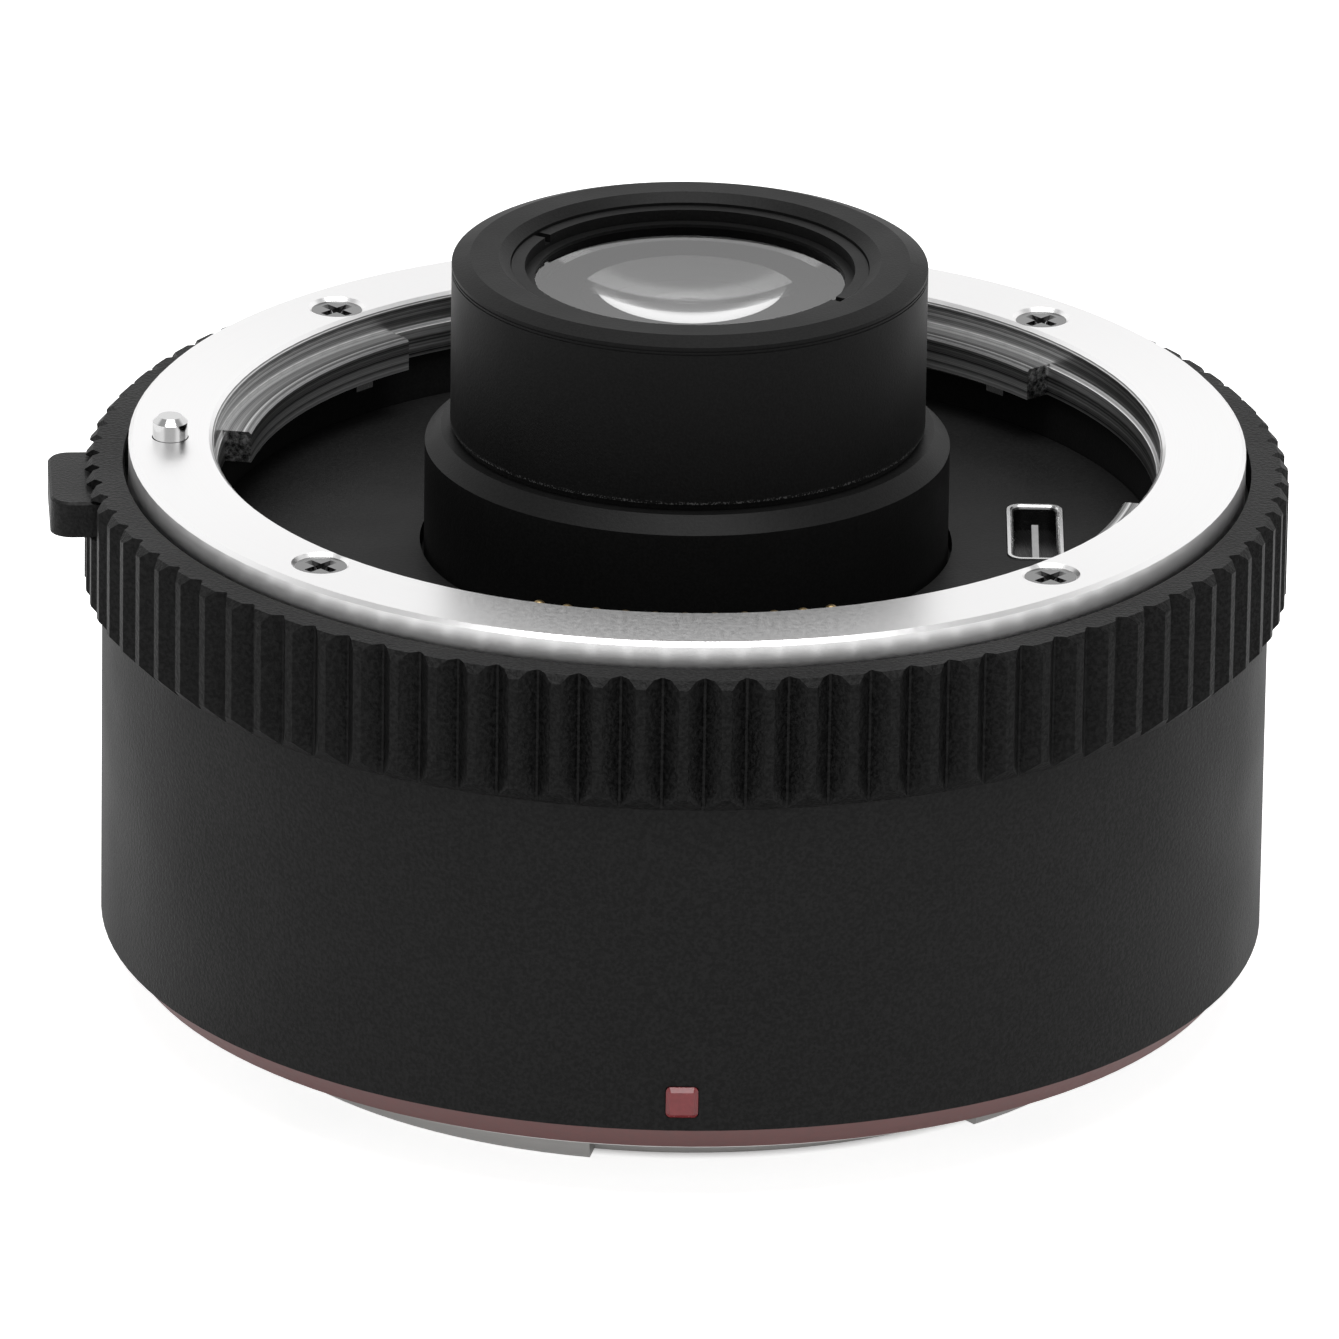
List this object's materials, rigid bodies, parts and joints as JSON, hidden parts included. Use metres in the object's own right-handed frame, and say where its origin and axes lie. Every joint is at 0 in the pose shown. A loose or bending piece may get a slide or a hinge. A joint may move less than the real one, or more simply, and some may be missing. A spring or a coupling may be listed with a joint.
{
  "type": "camera teleconverter",
  "caption": "Black cylindrical lens converter with a knurled grip ring, a polished front bayonet around a protruding lens snout, a rear bayonet and a side release lever.",
  "frame": {"origin": "on the optical axis, in the plane of the rear seating face that meets the camera", "axes": "+Z along the optical axis from the camera towards the lens; the index mark is on the -Y side and the release lever on the -X side"},
  "size_m": [0.0743, 0.072, 0.0467],
  "materials": {
    "barrel_black": "fine matte texture",
    "grip_black": "satin black",
    "inner_black": "dull black",
    "snout_black": "satin black",
    "flange_chrome": "polished, finely turned",
    "rear_steel": "satin, turned",
    "screw_steel": "bright",
    "small_screw_steel": "dark",
    "spring_steel": "bright",
    "lever_black": "satin black",
    "pin_steel": "polished",
    "liner_bright": "bright, bevelled",
    "tongue_grey": "smooth",
    "red_paint": "dusty red",
    "red_mark": "glossy",
    "lens_glass": "coated",
    "ring_black": "dull black",
    "contact_gold": "gold-plated",
    "block_black": "moulded",
    "gasket_rubber": "matte",
    "board_green": "lacquered",
    "chip_black": "moulded",
    "flex_amber": "film",
    "shim_steel": "rolled"
  },
  "bodies": {
    "body": {"outer_barrel": "barrel_black", "index_mark": "red_mark", "grip_ring": "grip_black", "front_bayonet": "flange_chrome", "front_bayonet_screws": "screw_steel", "bayonet_springs": "spring_steel", "mount_base": "inner_black", "front_baffle": "inner_black", "slot_liner": "liner_bright", "slot_tongue": "tongue_grey", "lens_cell": "inner_black", "lens_cell_screws": "small_screw_steel", "barrel_collar": "snout_black", "snout_gasket": "gasket_rubber", "snout_barrel": "snout_black", "front_retaining_ring": "ring_black", "spacer_1": "ring_black", "spacer_2": "ring_black", "spacer_3": "ring_black", "rear_retaining_ring": "ring_black", "rear_bayonet": "rear_steel", "rear_bayonet_screws": "screw_steel", "rear_mount_shim": "shim_steel", "red_trim_ring": "red_paint", "rear_cover": "inner_black", "rear_baffle": "inner_black", "front_contact_block": "block_black", "rear_contact_block": "block_black", "rear_contact_pads": "contact_gold", "circuit_board": "board_green", "board_spacers": "screw_steel", "board_screws": "small_screw_steel", "controller_chip": "chip_black", "front_flex": "flex_amber", "rear_flex": "flex_amber", "lock_pin_spring": "spring_steel", "lever_return_spring": "spring_steel", "lens_1": "lens_glass", "lens_2": "lens_glass", "lens_3": "lens_glass", "lens_4": "lens_glass", "lens_5": "lens_glass", "lens_6": "lens_glass", "lens_7": "lens_glass", "lens_8": "lens_glass"},
    "release_lever": {"release_lever": "lever_black"},
    "lock_pin": {"lock_pin": "pin_steel"},
    "contact_pin_01": {"contact_pin_01": "contact_gold"},
    "contact_pin_02": {"contact_pin_02": "contact_gold"},
    "contact_pin_03": {"contact_pin_03": "contact_gold"},
    "contact_pin_04": {"contact_pin_04": "contact_gold"},
    "contact_pin_05": {"contact_pin_05": "contact_gold"},
    "contact_pin_06": {"contact_pin_06": "contact_gold"},
    "contact_pin_07": {"contact_pin_07": "contact_gold"},
    "contact_pin_08": {"contact_pin_08": "contact_gold"},
    "contact_pin_09": {"contact_pin_09": "contact_gold"},
    "contact_pin_10": {"contact_pin_10": "contact_gold"},
    "contact_pin_11": {"contact_pin_11": "contact_gold"}
  },
  "joints": [
    {"name": "release_lever_turn", "type": "hinge", "parent": "body", "child": "release_lever", "pos_m": [0, 0, 0.028], "axis": [0, 0, 1], "range_deg": [-5.5, 0], "stiffness_Nm_per_rad": 0.15, "deforming": ["lever_return_spring"]},
    {"name": "lock_pin_slide", "type": "slide", "parent": "body", "child": "lock_pin", "axis": [0, 0, 1], "range_m": [-0.0014, 0], "deforming": ["lock_pin_spring"]},
    {"name": "contact_pin_01_slide", "type": "slide", "parent": "body", "child": "contact_pin_01", "axis": [0, 0, 1], "range_m": [-0.0008, 0], "stiffness_N_per_m": 300},
    {"name": "contact_pin_02_slide", "type": "slide", "parent": "body", "child": "contact_pin_02", "axis": [0, 0, 1], "range_m": [-0.0008, 0], "stiffness_N_per_m": 300},
    {"name": "contact_pin_03_slide", "type": "slide", "parent": "body", "child": "contact_pin_03", "axis": [0, 0, 1], "range_m": [-0.0008, 0], "stiffness_N_per_m": 300},
    {"name": "contact_pin_04_slide", "type": "slide", "parent": "body", "child": "contact_pin_04", "axis": [0, 0, 1], "range_m": [-0.0008, 0], "stiffness_N_per_m": 300},
    {"name": "contact_pin_05_slide", "type": "slide", "parent": "body", "child": "contact_pin_05", "axis": [0, 0, 1], "range_m": [-0.0008, 0], "stiffness_N_per_m": 300},
    {"name": "contact_pin_06_slide", "type": "slide", "parent": "body", "child": "contact_pin_06", "axis": [0, 0, 1], "range_m": [-0.0008, 0], "stiffness_N_per_m": 300},
    {"name": "contact_pin_07_slide", "type": "slide", "parent": "body", "child": "contact_pin_07", "axis": [0, 0, 1], "range_m": [-0.0008, 0], "stiffness_N_per_m": 300},
    {"name": "contact_pin_08_slide", "type": "slide", "parent": "body", "child": "contact_pin_08", "axis": [0, 0, 1], "range_m": [-0.0008, 0], "stiffness_N_per_m": 300},
    {"name": "contact_pin_09_slide", "type": "slide", "parent": "body", "child": "contact_pin_09", "axis": [0, 0, 1], "range_m": [-0.0008, 0], "stiffness_N_per_m": 300},
    {"name": "contact_pin_10_slide", "type": "slide", "parent": "body", "child": "contact_pin_10", "axis": [0, 0, 1], "range_m": [-0.0008, 0], "stiffness_N_per_m": 300},
    {"name": "contact_pin_11_slide", "type": "slide", "parent": "body", "child": "contact_pin_11", "axis": [0, 0, 1], "range_m": [-0.0008, 0], "stiffness_N_per_m": 300}
  ],
  "couplings": [
    {"joint": "lock_pin_slide", "follows": "release_lever_turn", "m_per_rad": 0.014584}
  ]
}
